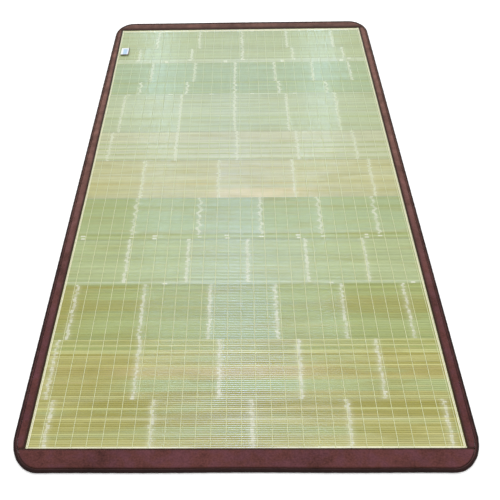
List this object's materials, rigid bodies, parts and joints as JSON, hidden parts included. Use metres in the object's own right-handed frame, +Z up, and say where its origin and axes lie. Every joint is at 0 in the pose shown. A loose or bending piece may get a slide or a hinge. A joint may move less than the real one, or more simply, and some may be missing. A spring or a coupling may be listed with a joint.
{
  "type": "bamboo sleeping mat",
  "caption": "Flat sleeping mat of split bamboo slats sewn side by side, framed by a maroon cloth binding with a piped edge and rounded corners.",
  "frame": {"origin": "on the floor under the middle of the mat", "axes": "+Y along the mat from its near end to its far end, +X across it to the right, +Z up"},
  "size_m": [0.9, 1.9, 0.0095],
  "materials": {
    "slats": "satin split bamboo in pale green and olive",
    "binding": "matte maroon woven cloth",
    "piping": "matte dark maroon cloth over a cord",
    "label": "smooth pale woven patch, blank"
  },
  "bodies": {
    "root": {"slat_field": "slats", "binding_near": "binding", "binding_far": "binding", "binding_left": "binding", "binding_right": "binding", "piping_near": "piping", "piping_far": "piping", "piping_left": "piping", "piping_right": "piping", "label": "label"}
  },
  "joints": []
}
